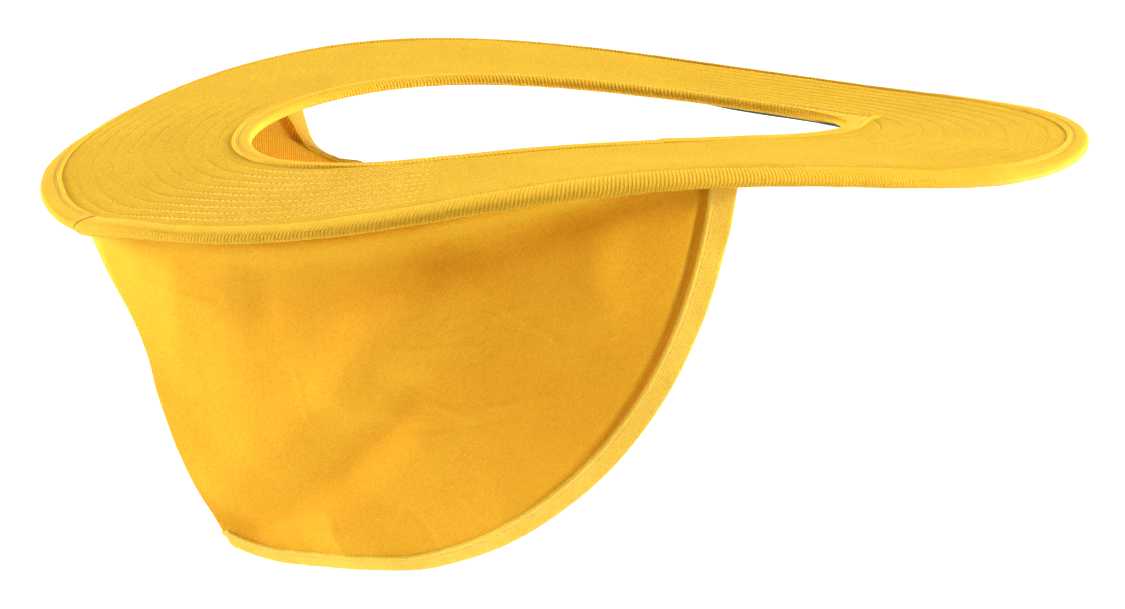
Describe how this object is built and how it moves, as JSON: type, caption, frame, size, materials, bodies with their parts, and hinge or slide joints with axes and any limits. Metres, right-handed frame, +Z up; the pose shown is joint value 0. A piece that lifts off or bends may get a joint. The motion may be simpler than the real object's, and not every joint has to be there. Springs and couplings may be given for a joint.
{
  "type": "hard hat sun shade",
  "caption": "Slip-on sun visor for a hard hat: a quilted full-brim twill ring, open for the hat's crown, with a neck shade hung from the back of its rim.",
  "frame": {"origin": "centre of the hat opening, level with the sides of the ring", "axes": "+Z up, -Y towards the front of the brim, +X towards the wearer's left"},
  "size_m": [0.372, 0.44, 0.1826],
  "materials": {
    "yellow_twill": "fine cotton twill",
    "yellow_binding": "folded twill tape",
    "yellow_hem": "folded twill hem",
    "yellow_thread": "spun sewing thread",
    "green_lining": "dark green matt cloth",
    "stiffener_foam": "closed-cell foam sheet"
  },
  "bodies": {
    "brim": {"brim_stiffener": "stiffener_foam", "brim_top_cover": "yellow_twill", "brim_under_lining": "green_lining", "outer_binding": "yellow_binding", "outer_binding_stitching": "yellow_thread", "inner_binding": "yellow_binding", "inner_binding_stitching": "yellow_thread", "neck_shade_seam_stitching": "yellow_thread", "quilt_row_1": "yellow_thread", "quilt_row_2": "yellow_thread", "quilt_row_3": "yellow_thread", "quilt_row_4": "yellow_thread", "quilt_row_5": "yellow_thread", "quilt_row_6": "yellow_thread", "quilt_row_7": "yellow_thread", "quilt_row_8": "yellow_thread", "quilt_row_9": "yellow_thread"},
    "neck_shade": {"neck_shade_panel": "yellow_twill", "neck_shade_hem": "yellow_hem", "neck_shade_hem_stitching": "yellow_thread"}
  },
  "joints": [
    {"name": "neck_shade_swing", "type": "hinge", "parent": "brim", "child": "neck_shade", "pos_m": [0, 0.201, -0.0296], "axis": [1, 0, 0], "range_deg": [0, 8], "stiffness_Nm_per_rad": 0.1, "springref_deg": -22.92}
  ]
}
